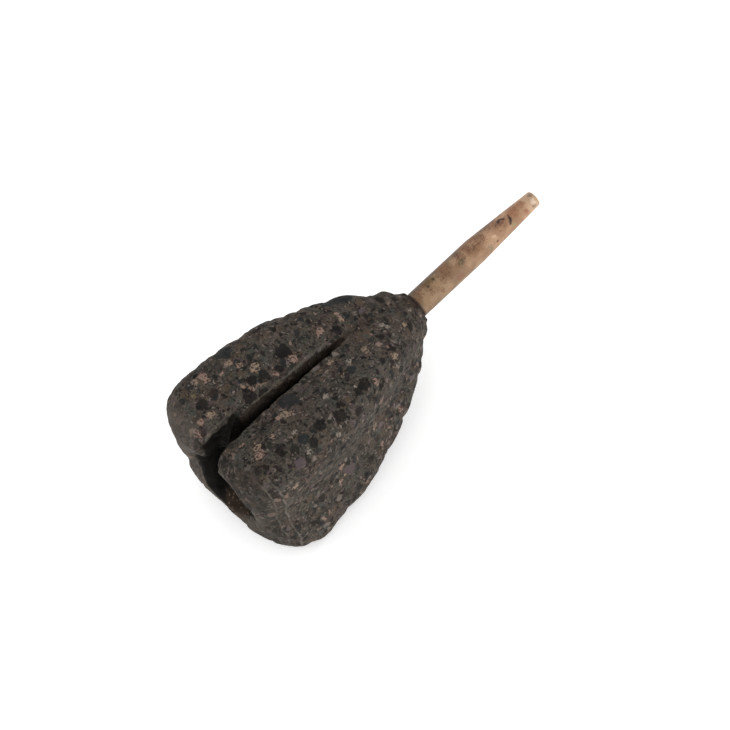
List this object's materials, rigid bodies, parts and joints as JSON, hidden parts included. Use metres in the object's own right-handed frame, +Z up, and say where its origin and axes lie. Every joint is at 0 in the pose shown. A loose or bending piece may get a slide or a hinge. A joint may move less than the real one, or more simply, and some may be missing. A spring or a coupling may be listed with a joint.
{
  "type": "in-line fishing lead",
  "caption": "Cast square-pear in-line lead with a tapered side slot, a flared cup in its base and a pull-out tail rubber on a hard insert tube.",
  "frame": {"origin": "on the surface that the lead lies on, under the middle of its overall length and width", "axes": "+X along the bore from the base to the tail's tip, +Z up through the slotted face"},
  "size_m": [0.0574, 0.022, 0.0211],
  "materials": {
    "coated_lead": "matte",
    "hard_plastic": "satin",
    "soft_rubber": "matte"
  },
  "bodies": {
    "lead": {"lead_body": "coated_lead"},
    "insert": {"insert_tube": "hard_plastic"},
    "tail": {"tail_rubber": "soft_rubber"}
  },
  "joints": [
    {"name": "insert_slide", "type": "slide", "parent": "lead", "child": "insert", "axis": [1, 0, 0], "range_m": [0, 0.018]},
    {"name": "tail_slide", "type": "slide", "parent": "insert", "child": "tail", "axis": [1, 0, 0], "range_m": [0, 0.018]}
  ]
}
